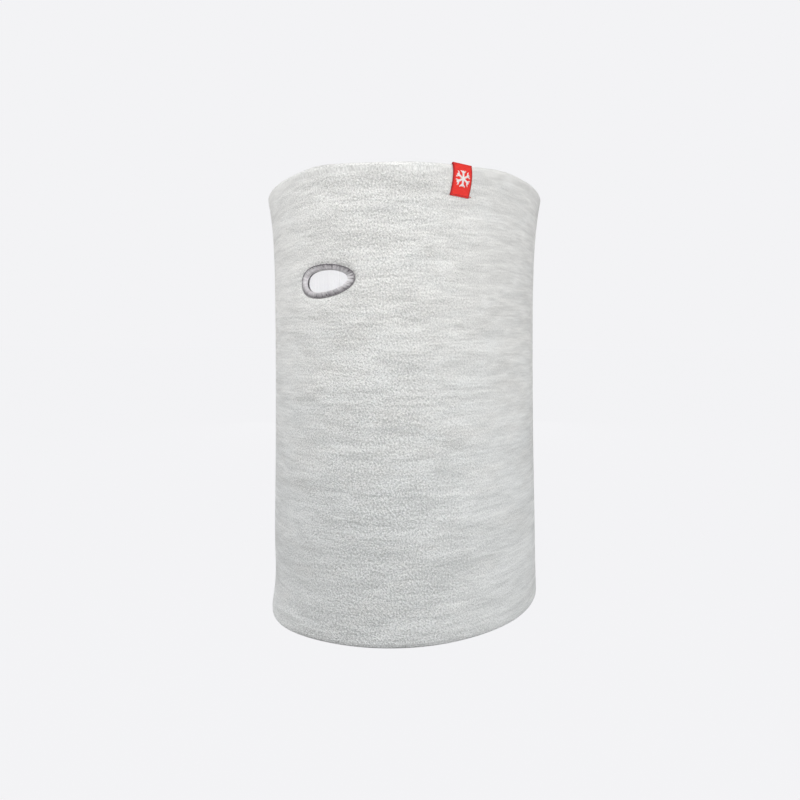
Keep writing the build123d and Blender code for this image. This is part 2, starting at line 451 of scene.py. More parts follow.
def heather_fleece():
    """Brushed heather fleece: pale streaks round the tube under a curly, pebbled pile."""
    finish = Finish("heather_fleece", roughness=0.95, sheen=0.12, sheen_roughness=0.6, specular=0.1)
    drift = finish.noise(finish.cloth(30 * MM, 14 * MM), detail=1)
    long_streaks = finish.noise(finish.cloth(46 * MM, 6.0 * MM, drift), detail=2)
    streaks = finish.noise(finish.cloth(18 * MM, 2.4 * MM, drift), detail=3, roughness=0.55)
    yarns = finish.noise(finish.cloth(8 * MM, 1.1 * MM, drift), detail=2)
    patches = finish.noise(finish.cloth(60 * MM, 30 * MM), detail=2)
    leaning_left = finish.noise(finish.cloth(1.10 * MM, 0.60 * MM, turn=-38), detail=2, roughness=0.6)
    leaning_right = finish.noise(finish.cloth(1.10 * MM, 0.60 * MM, turn=47), detail=2, roughness=0.6)
    front_contrast = finish.bell_round(PILE_AT, PILE_REACH)
    pebbles = finish.sum((leaning_left, 1.0, 0.5), (leaning_right, 1.0, 0.5))
    rising = finish.climb(PAINTED_LIGHT_LOW * HEIGHT, PAINTED_LIGHT_HIGH * HEIGHT)
    rim = finish.climb(HEIGHT - HEM_PILE, HEIGHT)
    strength = finish.sum((front_contrast, 0.9, -0.3), (rising, -0.25, 0.4), (rim, -0.28, 0.0))
    curls = finish.math("MULTIPLY", pebbles, strength)
    rows = finish.math("MULTIPLY", finish.sum((streaks, 1.0, 0.5)), finish.sum((front_contrast, 0.36, -1.6)))
    tone = finish.sum(
        (long_streaks, 0.48, 0.5),
        (rows, 1.0, 0.0),
        (yarns, 0.52, 0.5),
        (patches, 0.24, 0.5),
        (curls, 2.0, 0.0),
        (1.0, 0.5, 0.0),
    )
    hue = finish.noise(finish.cloth(24 * MM, 9 * MM, drift), detail=2)
    # Painted light: with height the colour turns from the foot's cool, lighter shades to the top's warm, darker
    # ones, mixed with random hue patches.
    painted_light_and_hue = finish.sum((rising, 1.0, 0.0), (hue, 1.6, 0.5))
    foot = finish.shades(tone, FOOT_DARK, FOOT_LIGHT)
    top = finish.shades(tone, TOP_DARK, TOP_LIGHT)
    finish.colour(finish.tint(foot, top, painted_light_and_hue))
    finish.bump(finish.sum((curls, 1.0, 0.0), (streaks, 0.3, 0.0)), 0.5 * MM)
    return finish.material


def lining_knit():
    """Fine white jersey with upright wales."""
    finish = Finish("lining_knit", roughness=0.9, sheen=0.2, specular=0.15)
    fuzz = finish.noise(finish.cloth(0.9 * MM, 0.9 * MM), detail=3)
    mottle = finish.noise(finish.cloth(22 * MM, 14 * MM), detail=3)
    wales = finish.noise(finish.cloth(1.0 * MM, 26 * MM), detail=1)
    tone = finish.sum((fuzz, 0.5, 0.5), (wales, 0.9, 0.5), (mottle, 0.4, 0.5), (1.0, 0.5, 0.0))
    finish.colour(finish.shades(tone, (0.82, 0.82, 0.83), (0.99, 0.99, 0.995)))
    finish.bump(finish.sum((fuzz, 0.6, 0.0), (wales, 1.0, 0.0)), 0.4 * MM)
    return finish.material


def spun_thread(name, dark, light, dive=7.0, sunk=0.0, fading=0.0, roughness=0.6, sheen=0.2):
    """Sewing or embroidery thread, each stitch its own tone, with painted shade where it dives into the cloth.

    With fading, each strand is also painted darker at its start and paler towards its end: painted shade on the
    outer part of a ring and painted light on its inner part.
    """
    finish = Finish(name, roughness=roughness, sheen=sheen, specular=0.4)
    place = finish.nodes.new("ShaderNodeUVMap")
    place.uv_map = "cloth"
    split = finish.nodes.new("ShaderNodeSeparateXYZ")
    finish.links.new(place.outputs["UV"], split.inputs[0])
    # Painted shade: the thread's colour darkens towards both ends, where it dives into the cloth.
    middle = finish.math("PINGPONG", split.outputs[0], 0.5)
    risen = finish.sum((middle, dive, sunk))
    crown = finish.math("MAXIMUM", finish.math("MINIMUM", risen, 1.0), 0.0)
    stitch_tone_and_painted_fade = finish.sum((split.outputs[1], 0.6, 0.0), (split.outputs[0], fading, 0.4), (1.0, 0.4, 0.0))
    tone = finish.math("MULTIPLY", crown, stitch_tone_and_painted_fade)
    finish.colour(finish.shades(tone, dark, light))
    ply = finish.noise(finish.cloth(0.03, 0.2), detail=1)
    finish.bump(ply, 0.08 * MM)
    return finish.material


SELVEDGE_REACH = 1.1 * MM
LABEL_SIDE = (0.36, 0.008, 0.012)


def ribbon(name, dark, light, roughness, sheen, side=None, half_width=0.0):
    """Woven ribbon: fine ribs across it and, where side is given, darker towards each side in that colour."""
    finish = Finish(name, roughness=roughness, sheen=sheen, specular=0.35)
    picks = finish.nodes.new("ShaderNodeTexWave")
    picks.bands_direction = "Y"
    finish.links.new(finish.cloth(1.0, 1.6 * MM), picks.inputs["Vector"])
    picks.inputs["Scale"].default_value = 1.0
    picks.inputs["Distortion"].default_value = 0.5
    slubs = finish.noise(finish.cloth(2.4 * MM, 0.5 * MM), detail=2)
    tone = finish.sum((picks.outputs["Fac"], 0.35, 0.5), (slubs, 1.0, 0.5), (1.0, 0.5, 0.0))
    cloth = finish.shades(tone, dark, light)
    if side is not None:
        cloth = finish.tint(cloth, side, finish.selvedge(half_width, SELVEDGE_REACH))
    finish.colour(cloth)
    finish.bump(finish.sum((picks.outputs["Fac"], 1.0, 0.0), (slubs, 0.6, 0.0)), 0.12 * MM)
    return finish.material


FLEECE = heather_fleece()
LINING = lining_knit()
SATIN = spun_thread("satin_thread", (0.10, 0.09, 0.10), (0.87, 0.845, 0.86), dive=16.0, sunk=0.06, fading=0.70)
SEAM = spun_thread("seam_thread", grey(0.50), grey(0.95))
OVERLOCK = spun_thread("overlock_thread", grey(0.45), grey(0.80))
LABEL_THREAD = spun_thread("label_thread", (0.20, 0.01, 0.01), (0.66, 0.02, 0.02))
LABEL_WHITE = spun_thread("label_white", (0.96, 0.90, 0.88), (1.0, 0.99, 0.98))
CARE_SATIN = ribbon("care_satin", (0.80, 0.80, 0.79), (0.94, 0.94, 0.93), roughness=0.35, sheen=0.1)
BACKING = ribbon("backing", (0.80, 0.80, 0.79), (0.94, 0.94, 0.93), roughness=0.8, sheen=0.1)

# ---- The two layers ----

COLUMNS = 320
ROWS = 150
FOLD_STEPS = 14
FOLD_HEIGHT = 2.4 * MM  # of the rounded edge of a hem
HEM_CREASE = 3.2 * MM  # depth at which shell and lining meet in a hem
HEM_WALL = 4.5 * MM  # depth of the lining's inner face there
HEM_TUCK = 1.1 * MM  # how far the lining's edge stays behind the shell's
HEM_CLOSING = 4.0 * MM  # height over which they come together
LOOSE = 0.05 * MM  # left between two cloths that touch
VENT_BLOCK_WIDTH = 24 * MM  # half of the stretch of cloth that is meshed round the vent
VENT_BLOCK_HEIGHT = 17 * MM
VENT_RINGS = 16
CUT_MARGIN = 0.9 * MM  # how far outside the vent's edge the cloth is cut


def layer_rows(outer, inner, outer_at_hem, inner_at_hem, fold, tuck):
    """Depth and level of each row of a layer: the bottom fold, up outside, the top fold, down inside."""
    foot = fold + tuck
    levels = np.linspace(foot, HEIGHT - foot, ROWS)
    edge = np.minimum(levels, HEIGHT - levels) - foot
    closing = 1 - soft_step(edge, 0, HEM_CLOSING)
    outside = outer + (outer_at_hem - outer) * closing
    inside = inner + (inner_at_hem - inner) * closing
    turn = np.linspace(0, math.pi, FOLD_STEPS + 2)[1:-1]
    fold_depth = (outer_at_hem + inner_at_hem) / 2 - (inner_at_hem - outer_at_hem) / 2 * np.cos(turn)
    fold_rise = fold * np.sin(turn)
    depth = np.concatenate([fold_depth[::-1], outside, fold_depth, inside[::-1]])
    level = np.concatenate([foot - fold_rise, levels, HEIGHT - foot + fold_rise, levels[::-1]])
    return depth, level


def block_perimeter(rows, columns):
    """Row and column numbers round a block of the grid, anticlockwise in those numbers."""
    low_row, high_row = rows
    low_column, high_column = columns
    bottom = [(low_row, column) for column in range(low_column, high_column)]
    right = [(row, high_column) for row in range(low_row, high_row)]
    top = [(high_row, column) for column in range(high_column, low_column, -1)]
    left = [(row, low_column) for row in range(high_row, low_row, -1)]
    return np.array(bottom + right + top + left)


def vent_patch(maker, ring, start_along, start_rise, depth_at, cloth_at):
    """Fills the block round the vent with rings that shrink to the cut edge; returns the last ring."""
    turn = vent_turn(start_along, start_rise)
    edge_along, edge_rise = vent_edge(turn, CUT_MARGIN)
    rings = [np.append(ring, ring[0])]
    for step in range(1, VENT_RINGS + 1):
        share = 1 - (1 - step / VENT_RINGS) ** 1.35
        ring_along = start_along + (edge_along - start_along) * share
        ring_rise = start_rise + (edge_rise - start_rise) * share
        points, _ = wall_point(ring_along, VENT_LEVEL + ring_rise, depth_at(ring_along, ring_rise))
        marks = np.stack([ring_along, cloth_at(VENT_LEVEL + ring_rise)], axis=-1)
        ring = maker.add_points(points, marks)
        rings.append(np.append(ring, ring[0]))
    maker.add_quads(np.array(rings))
    return ring, edge_along, edge_rise


def make_layer(name, rows, depth_change, finish):
    """One closed layer of cloth with a cut vent and rounded hems."""
    depth, level = rows
    along = np.linspace(-GIRTH / 2, GIRTH / 2, COLUMNS, endpoint=False)
    grid_along, grid_level = np.meshgrid(along, level)
    grid_depth = depth[:, None] + depth_change(grid_along, grid_level - VENT_LEVEL, depth[:, None])
    points, _ = wall_point(grid_along, grid_level, grid_depth)
    maker = Maker()
    steps = np.hypot(np.diff(depth, append=depth[0]), np.diff(level, append=level[0]))
    cloth = np.cumsum(steps) - steps[0]
    marks = np.stack(np.broadcast_arrays(grid_along, cloth[:, None]), axis=-1)
    numbers = maker.add_points(points, marks)

    in_columns = np.flatnonzero(np.abs(along) < VENT_BLOCK_WIDTH)
    columns = (in_columns[0], in_columns[-1])
    near = np.flatnonzero(np.abs(level - VENT_LEVEL) < VENT_BLOCK_HEIGHT)
    outside = near[near < FOLD_STEPS + ROWS]
    inside = near[near >= FOLD_STEPS + ROWS]

    closed = np.vstack([numbers, numbers[:1]])
    closed = np.hstack([closed, closed[:, :1]])
    keep = np.ones((closed.shape[0] - 1, closed.shape[1] - 1), dtype=bool)
    edges = []
    for block in (outside, inside):
        keep[block[0] : block[-1], columns[0] : columns[1]] = False
        perimeter = block_perimeter((block[0], block[-1]), columns)
        upwards = block[np.argsort(level[block])]

        def depth_at(ring_along, ring_rise, base=depth[block[0]]):
            return base + depth_change(ring_along, ring_rise, base)

        def cloth_at(ring_level, upwards=upwards):
            return np.interp(ring_level, level[upwards], cloth[upwards])

        ring = numbers[perimeter[:, 0], perimeter[:, 1]]
        start_along = along[perimeter[:, 1]]
        start_rise = level[perimeter[:, 0]] - VENT_LEVEL
        edges.append(vent_patch(maker, ring, start_along, start_rise, depth_at, cloth_at))
    maker.add_quads(closed, keep)

    outer_ring, outer_along, outer_rise = edges[0]
    inner_ring, inner_along, inner_rise = edges[1]
    gaps = np.hypot(outer_along[:, None] - inner_along, outer_rise[:, None] - inner_rise)
    matched = inner_ring[np.argmin(gaps, axis=1)]
    wall = np.array([np.append(outer_ring, outer_ring[0]), np.append(matched, matched[0])])
    maker.add_quads(wall[::-1, ::-1])
    wrap = np.array([GIRTH, steps.sum()])
    return maker.finish(name, "tube", name_slot(name), finish, [name], wrap)


def name_slot(node):
    """The record's material slot of a node."""
    for subpart in frame["record"]["subparts"]:
        if subpart["node"] == node:
            return subpart["material_slot"]
    return None


BACK = GIRTH / 2
SHELL_AT_VENT = VENT_PINCH / 2  # depth of the shell's face under the embroidery
SEAM_GROOVE = 0.4 * MM
STITCH_DENT = 0.45 * MM


def shell_depth(along, rise, depth):
    """The shell's face sinks under the embroidery, at its outline and along the back seam."""
    margin = vent_margin(along, rise)
    pinch = SHELL_AT_VENT * (1 - soft_step(margin, 3 * MM, 8 * MM))
    dent = STITCH_DENT * bell(margin - SATIN_WIDTH, 0.9 * MM)
    outside = depth < SHELL_THICKNESS / 2
    groove = SEAM_GROOVE * bell(np.abs(along) - BACK, 1.1 * MM)
    return np.where(outside, pinch + dent + groove, 0)


def lining_depth(along, rise, depth):
    """The lining is drawn out towards the shell, and pressed thinner, round the vent."""
    margin = vent_margin(along, rise)
    closing = LINING_DEPTH - SHELL_THICKNESS - GAP_AT_VENT
    outside = depth < (LINING_DEPTH + WALL) / 2
    return -np.where(outside, closing, VENT_PINCH) * (1 - soft_step(margin, 3 * MM, 9 * MM))


shell_rows = layer_rows(0.0, SHELL_THICKNESS, 0.0, HEM_CREASE - LOOSE, FOLD_HEIGHT, 0.0)
lining_rows = layer_rows(LINING_DEPTH, WALL, HEM_CREASE + LOOSE, HEM_WALL, FOLD_HEIGHT / 2, HEM_TUCK)
outer_shell = make_layer("outer_shell", shell_rows, shell_depth, FLEECE)
inner_lining = make_layer("inner_lining", lining_rows, lining_depth, LINING)

# ---- The vent's embroidery ----

SATIN_STRANDS = 176
SATIN_RADIUS = 0.30 * MM
SATIN_RELIEF = 0.35 * MM  # height of the ring's crown above the shell
RING_INSIDE = 0.70 * MM  # from the opening to the threads that wrap the cut edge
RING_LIP = 1.3 * MM  # how far into the opening the cut edge reaches on the wearer's left
LIP_REACH = 0.9  # radians round the ring over which it does
RING_OUTSIDE = 2.85 * MM  # from the opening to where the threads dive into the shell
LINING_AT_VENT = WALL - VENT_PINCH  # depth of the lining's inner face there
SATIN_GLANCE = 0.3  # radians from the ring's long axis to where its threads are painted lighter, a painted highlight
OUTLINE_STITCHES = 72
OUTLINE_RADIUS = 0.26 * MM
OUTLINE_PAINTED_SHADOW = -0.55  # painted shadow: darker than any thread of the ring


def ring_place(turn, share):
    """Place on the cloth at an angle round the ring and a share of its width, from the inside out."""
    inside = RING_INSIDE - RING_LIP * bell(np.arctan2(np.sin(turn), np.cos(turn)), LIP_REACH)
    return vent_edge(turn, inside + (RING_OUTSIDE - inside) * share)


def vent_threads(maker, section, strands, radius, seed):
    """Threads laid across the ring, each following a section of (share of the width, depth)."""
    draw = np.random.default_rng(seed)
    even = np.linspace(0, 2 * math.pi, 1441)
    middle_along, middle_rise = ring_place(even, 0.5)
    paces = np.hypot(np.diff(middle_along), np.diff(middle_rise))
    length = np.concatenate([[0], np.cumsum(paces)])
    spaced = (np.arange(strands) + draw.uniform(-0.25, 0.25, strands)) / strands * length[-1]
    turn = np.interp(spaced, length, even)
    share, depth = np.array(section).T
    reach = 1 + draw.uniform(-0.09, 0.06, strands)[:, None]
    slant = 0.05 + draw.uniform(-0.04, 0.04, strands)[:, None]
    along, rise = ring_place(turn[:, None] + slant * share, share * reach)
    lay = depth + 0.12 * MM * draw.uniform(-1, 1, strands)[:, None]
    paths, out = wall_point(along, VENT_LEVEL + rise, lay)
    # Painted highlight: threads near the ring's long axis are painted lighter, where satin would catch the
    # light; the rest is each stitch's random tone.
    painted_glint = np.abs(np.cos(turn + SATIN_GLANCE)) ** 5
    shade = 0.45 * painted_glint + draw.uniform(-0.30, 0.20, strands)
    maker.add_threads(paths, out, radius, flatness=0.8, shade=shade)


def vent_shadow_run(maker):
    """A run of small stitches in the dent round the ring's outer edge, painted dark as the shadow in the gap
    between ring and shell.
    """
    even = np.linspace(0, 2 * math.pi, OUTLINE_STITCHES + 1)
    turn = even[:-1, None] + (even[1] - even[0]) * np.linspace(0.04, 0.96, 7)
    along, rise = vent_edge(turn, RING_OUTSIDE + 1.6 * OUTLINE_RADIUS)
    hump = np.sin(math.pi * np.linspace(0, 1, 7)) ** 0.5
    lay = SHELL_AT_VENT + STITCH_DENT - OUTLINE_RADIUS * 2.3 * hump
    paths, out = wall_point(along, VENT_LEVEL + rise, lay)
    maker.add_threads(paths, out, OUTLINE_RADIUS, shade=np.full(OUTLINE_STITCHES, OUTLINE_PAINTED_SHADOW))


def vent_underlay(maker, section):
    """A smooth oval ring under the threads, from its own section of (share of the width, depth)."""
    turn = np.linspace(0, 2 * math.pi, 161)[:-1, None]
    share, depth = np.array(section).T
    along, rise = ring_place(turn, share)
    points, _ = wall_point(along, VENT_LEVEL + rise, depth)
    # With the satin finish the underlay is painted dark, as painted shade between the threads.
    numbers = maker.add_points(points, np.array([UNDERLAY_SHADE_MARK, 0.0]))
    closed = np.vstack([numbers, numbers[:1]])
    maker.add_quads(np.hstack([closed, closed[:, :1]]))


UNDERLAY_SHADE_MARK = 0.04  # place along a thread, near its end, where its painted shade is darkest; the underlay seen between the threads takes this painted shade
UNDERLAY_INSET = 0.16 * MM  # of the underlay below the threads


def make_vent_satin():
    """The satin ring: threads that rise out of the shell, cross the ring and wrap the cut edge."""
    crown = SHELL_AT_VENT - SATIN_RELIEF
    section = [
        (1.04, SHELL_AT_VENT + 0.25 * MM),
        (1.0, SHELL_AT_VENT - 0.02 * MM),
        (0.93, crown + 0.22 * MM),
        (0.78, crown + 0.04 * MM),
        (0.55, crown),
        (0.32, crown + 0.04 * MM),
        (0.14, crown + 0.22 * MM),
        (0.04, crown + 0.60 * MM),
        (0.0, (SHELL_AT_VENT + LINING_AT_VENT) / 2),
        (0.04, LINING_AT_VENT - 0.25 * MM),
    ]
    maker = Maker()
    vent_threads(maker, section, SATIN_STRANDS, SATIN_RADIUS, seed=3)
    padding = [
        (1.0, SHELL_AT_VENT + 0.45 * MM),
        (0.92, crown + 0.25 * MM + UNDERLAY_INSET),
        (0.62, crown + UNDERLAY_INSET),
        (0.34, crown + UNDERLAY_INSET),
        (0.14, crown + 0.4 * MM + UNDERLAY_INSET),
        (0.07, SHELL_AT_VENT + 1.0 * MM),
        (0.07, LINING_AT_VENT - 0.4 * MM),
        (0.20, LINING_AT_VENT - 0.4 * MM),
        (0.20, SHELL_AT_VENT + 0.45 * MM),
    ]
    vent_underlay(maker, padding)
    # Painted shadow round the ring's outer edge.
    vent_shadow_run(maker)
    return maker.finish("vent_satin_stitch", "tube", "satin_thread", SATIN, ["vent_satin_stitch"])


def make_vent_bobbin():
    """The same ring seen on the lining, flatter and looser."""
    crown = LINING_AT_VENT + 0.45 * MM
    section = [
        (1.0, LINING_AT_VENT - 0.2 * MM),
        (0.92, LINING_AT_VENT + 0.2 * MM),
        (0.65, crown - 0.05 * MM),
        (0.40, crown),
        (0.18, crown - 0.2 * MM),
        (0.06, LINING_AT_VENT - 0.1 * MM),
    ]
    maker = Maker()
    vent_threads(maker, section, SATIN_STRANDS - 36, 0.9 * SATIN_RADIUS, seed=4)
    padding = [
        (0.10, LINING_AT_VENT - 0.3 * MM),
        (0.20, crown - 0.2 * MM - UNDERLAY_INSET),
        (0.50, crown - UNDERLAY_INSET),
        (0.86, LINING_AT_VENT + 0.2 * MM - UNDERLAY_INSET),
        (0.92, LINING_AT_VENT - 0.3 * MM),
    ]
    vent_underlay(maker, padding)
    return maker.finish("vent_bobbin_stitch", "tube", "satin_thread", SATIN, ["vent_bobbin_stitch"])


make_vent_satin()
make_vent_bobbin()

# ---- Flatlock seams at the centre back ----

STITCH_LENGTH = 2.6 * MM
SEAM_FOOT = 2.8 * MM  # how near to either hem the stitches run
SEAM_HALF_WIDTH = 2.1 * MM
SEAM_THREAD_RADIUS = 0.20 * MM


def back_seam(name, face, side, seed):
    """Two rows of needle stitches with looper threads crossing between them."""
    draw = np.random.default_rng(seed)
    maker = Maker()
    count = int((HEIGHT - 2 * SEAM_FOOT) / STITCH_LENGTH)
    starts = SEAM_FOOT + STITCH_LENGTH * np.arange(count)[:, None]
    step = np.linspace(0, 1, 7)[None, :]
    hump = np.sin(math.pi * step)
    for row in (-1, 0, 1):
        level = starts + STITCH_LENGTH * (0.06 + 0.88 * step)
        lay = face - side * MM * (0.42 * hump**0.5 - 0.22)
        along = BACK + row * SEAM_HALF_WIDTH + 0 * level + MM * draw.uniform(-0.06, 0.06, (count, 1))
        paths, out = wall_point(along, level, lay)
        maker.add_threads(paths, out * side, SEAM_THREAD_RADIUS, shade=draw.uniform(0, 1, count))
    for lean in (-1, 1):
        for half in (-1, 1):
            across = half * SEAM_HALF_WIDTH * (0.5 - lean * (step - 0.5))
            level = starts + STITCH_LENGTH * (0.5 * half + step)
            level = np.clip(level, SEAM_FOOT, HEIGHT - SEAM_FOOT)
            lay = face - side * MM * (0.10 + 0.16 * hump + 0.05 * lean)
            paths, out = wall_point(BACK + across + 0 * level, level, lay)
            shade = draw.uniform(0, 0.8, count)
            maker.add_threads(paths, out * side, 0.85 * SEAM_THREAD_RADIUS, shade=shade)
    return maker.finish(name, "tube", "seam_thread", SEAM, [name])


back_seam("shell_back_seam", 0.0, 1, seed=5)
back_seam("lining_back_seam", WALL, -1, seed=6)

# ---- Overlock chains and the vent's backing, between the layers ----

OVERLOCK_DEPTH = (SHELL_THICKNESS + LINING_DEPTH) / 2
OVERLOCK_STITCH = 3.0 * MM
OVERLOCK_RISE = 4.0 * MM


def overlock_chain(name, level, rise):
    """A chain of looped stitches over the turned edges of the cloth, all round a hem."""
    maker = Maker()
    count = int(GIRTH / OVERLOCK_STITCH)
    starts = -BACK + GIRTH * np.arange(count)[:, None] / count
    step = np.linspace(0, 1, 9)[None, :]
    swing = 0.5 - 0.5 * np.cos(2 * math.pi * step)
    along = starts + OVERLOCK_STITCH * step
    for lean in (-1, 1):
        lay = OVERLOCK_DEPTH + lean * 0.16 * MM + 0 * along
        paths, out = wall_point(along, level + rise * swing + 0 * along, lay)
        maker.add_threads(paths, out, 0.14 * MM, sides=5)
    return maker.finish(name, "tube", "overlock_thread", OVERLOCK, [name])


overlock_chain("top_overlock_seam", HEIGHT - 6.0 * MM, -OVERLOCK_RISE)
overlock_chain("bottom_overlock_seam", 6.0 * MM, OVERLOCK_RISE)


def make_backing():
    """A thin oval ring of stabiliser round the vent, between shell and lining."""
    maker = Maker()
    front = SHELL_THICKNESS + LOOSE
    back = SHELL_THICKNESS + GAP_AT_VENT - LOOSE
    section = [(2.2, front), (0.3, front), (0.3, back), (2.2, back)]
    vent_underlay(maker, section)
    return maker.finish("vent_backing", "tube", "backing", BACKING, ["vent_backing"])


make_backing()

# ---- The woven label over the top hem ----

label_low, label_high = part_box("woven_label")
LABEL_ALONG = along_at((label_low + label_high) / 2) + 1.0 * MM
LABEL_WIDTH = 10.8 * MM
LABEL_RED = ribbon(
    "label_red", (0.80, 0.014, 0.012), (1.0, 0.065, 0.045), 0.9, 0.0, LABEL_SIDE, LABEL_WIDTH / 2
)
LABEL_DROP = HEIGHT - label_low.z
LABEL_THICKNESS = 0.45 * MM
LABEL_GAP = 0.3 * MM  # between the ribbon and the cloth
LABEL_TURN = math.radians(5.0)  # it is sewn on a little askew
LABEL_LEAN = math.radians(1.5)  # and the leaves hang off plumb
LABEL_BOW = 1.1 * MM  # its sides curve towards +X
LABEL_ARCH = 0.4 * MM  # rise of the fold over the hem
LABEL_DIP = 1.6 * MM  # how much lower the fold lies on the inside
LABEL_SKEW = 2.2 * MM  # how far towards +X the fold carries it
FOLD_HALF = HEM_WALL / 2 + LABEL_GAP
FOLD_LENGTH = math.pi * FOLD_HALF
LEAF = LABEL_DROP - 0.7 * MM
LABEL_LENGTH = 2 * LEAF + FOLD_LENGTH


def label_point(across, path, lift):
    """A point of the ribbon: across it, along it from the foot of the outer leaf, and proud of it."""
    across, path, lift = np.broadcast_arrays(across, path, lift)
    bend = np.clip((path - LEAF) / FOLD_LENGTH, 0, 1) * math.pi
    drop = np.where(path < LABEL_LENGTH / 2, LEAF - path, path - LEAF - FOLD_LENGTH)
    hang = np.clip(drop / LEAF, 0, 1)
    belly = 0.4 * MM * np.sin(math.pi * hang) * np.cos(math.pi * across / LABEL_WIDTH)
    outer = (1 + np.cos(bend)) / 2
    depth = HEM_WALL / 2 - (FOLD_HALF + lift) * np.cos(bend) - belly * outer
    over = HEIGHT + (LABEL_ARCH + lift) * np.sin(bend) - LABEL_DIP * np.clip(bend / math.pi * 2 - 1, 0, 1) ** 2
    level = over - np.maximum(drop, 0) - across * math.sin(LABEL_TURN)
    bow = LABEL_BOW * np.sin(math.pi * hang ** 0.8)
    lean = (path - LABEL_LENGTH / 2) * math.sin(LABEL_LEAN)
    skew = LABEL_SKEW * bend / math.pi
    along = LABEL_ALONG + across * math.cos(LABEL_TURN) + bow + lean + skew
    points, _ = wall_point(along, level, depth)
    return points


def ribbon_sheet(maker, point_at, width, length, thickness, columns, rows):
    """A closed thin sheet with rounded sides, from point_at(across, path, lift)."""
    across = np.linspace(-width / 2, width / 2, columns)
    path = np.linspace(0, length, rows)
    edge = np.minimum(across + width / 2, width / 2 - across)
    selvedge = 1 + 0.35 * bell(edge - 0.5 * MM, 0.35 * MM)
    half = thickness / 2 * np.where(edge < 1e-9, 0.5, selvedge)
    loop_across = np.concatenate([across, across[::-1]])
    loop_lift = np.concatenate([half, -half[::-1]])
    points = point_at(loop_across[None, :], path[:, None], loop_lift[None, :])
    marks = np.stack(np.broadcast_arrays(loop_across[None, :], path[:, None]), axis=-1)
    numbers = maker.add_points(points, marks)
    maker.add_quads(np.hstack([numbers, numbers[:, :1]]).T[::-1].T)
    for end, step in ((numbers[0], 1), (numbers[-1], -1)):
        front, back = end[:columns], end[columns:][::-1]
        maker.add_quads(np.array([front, back])[:, ::step])


woven = Maker()
ribbon_sheet(woven, label_point, LABEL_WIDTH, LABEL_LENGTH, LABEL_THICKNESS, 25, 90)
woven_label = woven.finish("woven_label", "tube", "label_red", LABEL_RED, ["woven_label"])

STAR_REACH = 3.9 * MM
STAR_STROKE = 1.0 * MM
STAR_BRANCH = 1.5 * MM
PICK = 0.30 * MM  # from one weft thread to the next
STAR_PATH = 0.56 * LEAF


def star_spans(rise):
    """Where a weft thread at this height crosses the six-armed snow star."""
    inside = []
    for sample in np.arange(-STAR_REACH, STAR_REACH, 0.05 * MM):
        for turn in range(3):
            angle = math.radians(60 * turn)
            arm = sample * math.sin(angle) + rise * math.cos(angle)
            off = sample * math.cos(angle) - rise * math.sin(angle)
            on_arm = abs(arm) < STAR_REACH and abs(off) < STAR_STROKE / 2
            tip = STAR_REACH * 0.62
            on_branch = abs(abs(arm) - abs(off) - tip) < STAR_STROKE * 0.42 and abs(off) < STAR_BRANCH
            if on_arm or on_branch:
                inside.append(sample)
                break
    spans = []
    for sample in inside:
        if spans and sample - spans[-1][1] < 0.08 * MM:
            spans[-1][1] = sample
        else:
            spans.append([sample, sample])
    return [(low, high) for low, high in spans if high - low > 0.2 * MM]


def make_emblem():
    """The star, woven in white weft floats on the outer leaf."""
    draw = np.random.default_rng(8)
    floats = [
        (low, high, rise)
        for rise in np.arange(-STAR_REACH, STAR_REACH, PICK)
        for low, high in star_spans(rise)
    ]
    low, high, rise = np.array(floats).T[:, :, None]
    step = np.linspace(0, 1, 7)[None, :]
    across = low + (high - low) * step
    proud = LABEL_THICKNESS / 2 + MM * (0.16 * np.sin(math.pi * step) ** 0.4 - 0.03)
    paths = label_point(across, STAR_PATH + rise, proud)
    outwards = label_point(across, STAR_PATH + rise, proud + MM) - paths
    maker = Maker()
    maker.add_threads(paths, outwards, 0.52 * PICK, flatness=0.7, shade=draw.uniform(0, 1, len(floats)))
    return maker.finish("label_emblem", "tube", "label_white", LABEL_WHITE, ["label_emblem"])


make_emblem()

LABEL_STITCHES = 6
LABEL_STITCH_RISE = 0.7 * MM
LABEL_STITCH_RADIUS = 0.16 * MM


def label_stitch_row(name, path, overshoot):
    """A row of stitches across the foot of one leaf, running past the ribbon's edge by overshoot."""
    draw = np.random.default_rng(9)
    margin = 0.4 * MM
    pitch = (LABEL_WIDTH - margin + overshoot) / LABEL_STITCHES
    starts = margin - LABEL_WIDTH / 2 + pitch * np.arange(LABEL_STITCHES)[:, None]
    step = np.linspace(0, 1, 7)[None, :]
    across = starts + 0.86 * pitch * step
    proud = LABEL_THICKNESS / 2 + MM * (0.22 * np.sin(math.pi * step) ** 0.5 - 0.14)
    paths = label_point(across, path, proud)
    out = label_point(across, path, proud + MM) - paths
    maker = Maker()
    maker.add_threads(paths, out, LABEL_STITCH_RADIUS, shade=draw.uniform(0, 1, LABEL_STITCHES))
    return maker.finish(name, "tube", "label_thread", LABEL_THREAD, [name])


label_stitch_row("label_stitches", LABEL_STITCH_RISE, 1.5 * MM)
label_stitch_row("label_stitches_inside", LABEL_LENGTH - LABEL_STITCH_RISE, 0.0)

# ---- The care label, the flap inside the back seam ----

care_low, care_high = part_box("care_label")
CARE_HEIGHT = care_high.z - care_low.z
CARE_WIDTH = math.hypot(care_high.x - care_low.x, care_high.y - care_low.y)
care_seam = Vector((care_low.x, care_high.y, 0))
care_tip = Vector((care_high.x, care_low.y, 0))


